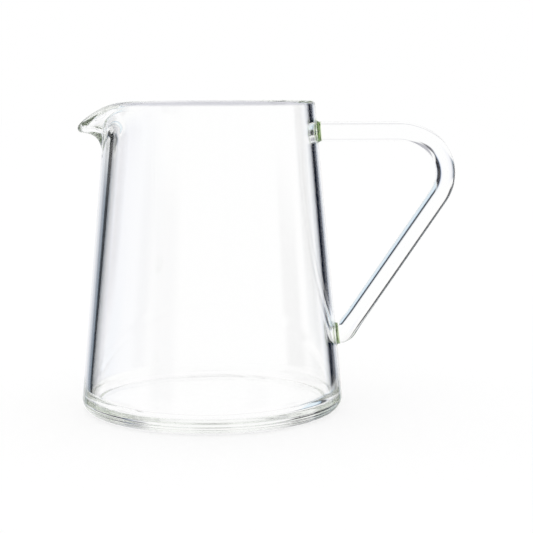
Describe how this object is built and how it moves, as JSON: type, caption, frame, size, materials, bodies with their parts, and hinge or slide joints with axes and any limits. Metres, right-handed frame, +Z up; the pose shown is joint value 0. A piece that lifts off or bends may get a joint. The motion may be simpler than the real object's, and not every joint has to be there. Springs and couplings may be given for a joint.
{
  "type": "coffee server carafe",
  "caption": "Clear glass coffee server: a tapered straight-sided jug with a thick floor, a drawn pouring lip and a bent solid glass rod handle fused to the wall.",
  "frame": {"origin": "on the vessel's axis, at the middle of the flat underside that the jug stands on", "axes": "+Z up along the vessel's axis, +X towards the handle, -X towards the spout; the jug is symmetric about the X-Z plane"},
  "size_m": [0.1431, 0.1, 0.1178],
  "materials": {
    "vessel_glass": "clear, fire-polished, with a faint green tint where it is seen through a long way",
    "handle_glass": "clear, smooth, drawn rod",
    "weld_glass": "clear, flame-fused, slightly green where it is thick"
  },
  "bodies": {
    "root": {"body_wall": "vessel_glass", "base": "vessel_glass", "handle": "handle_glass", "upper_weld": "weld_glass", "lower_weld": "weld_glass"}
  },
  "joints": []
}
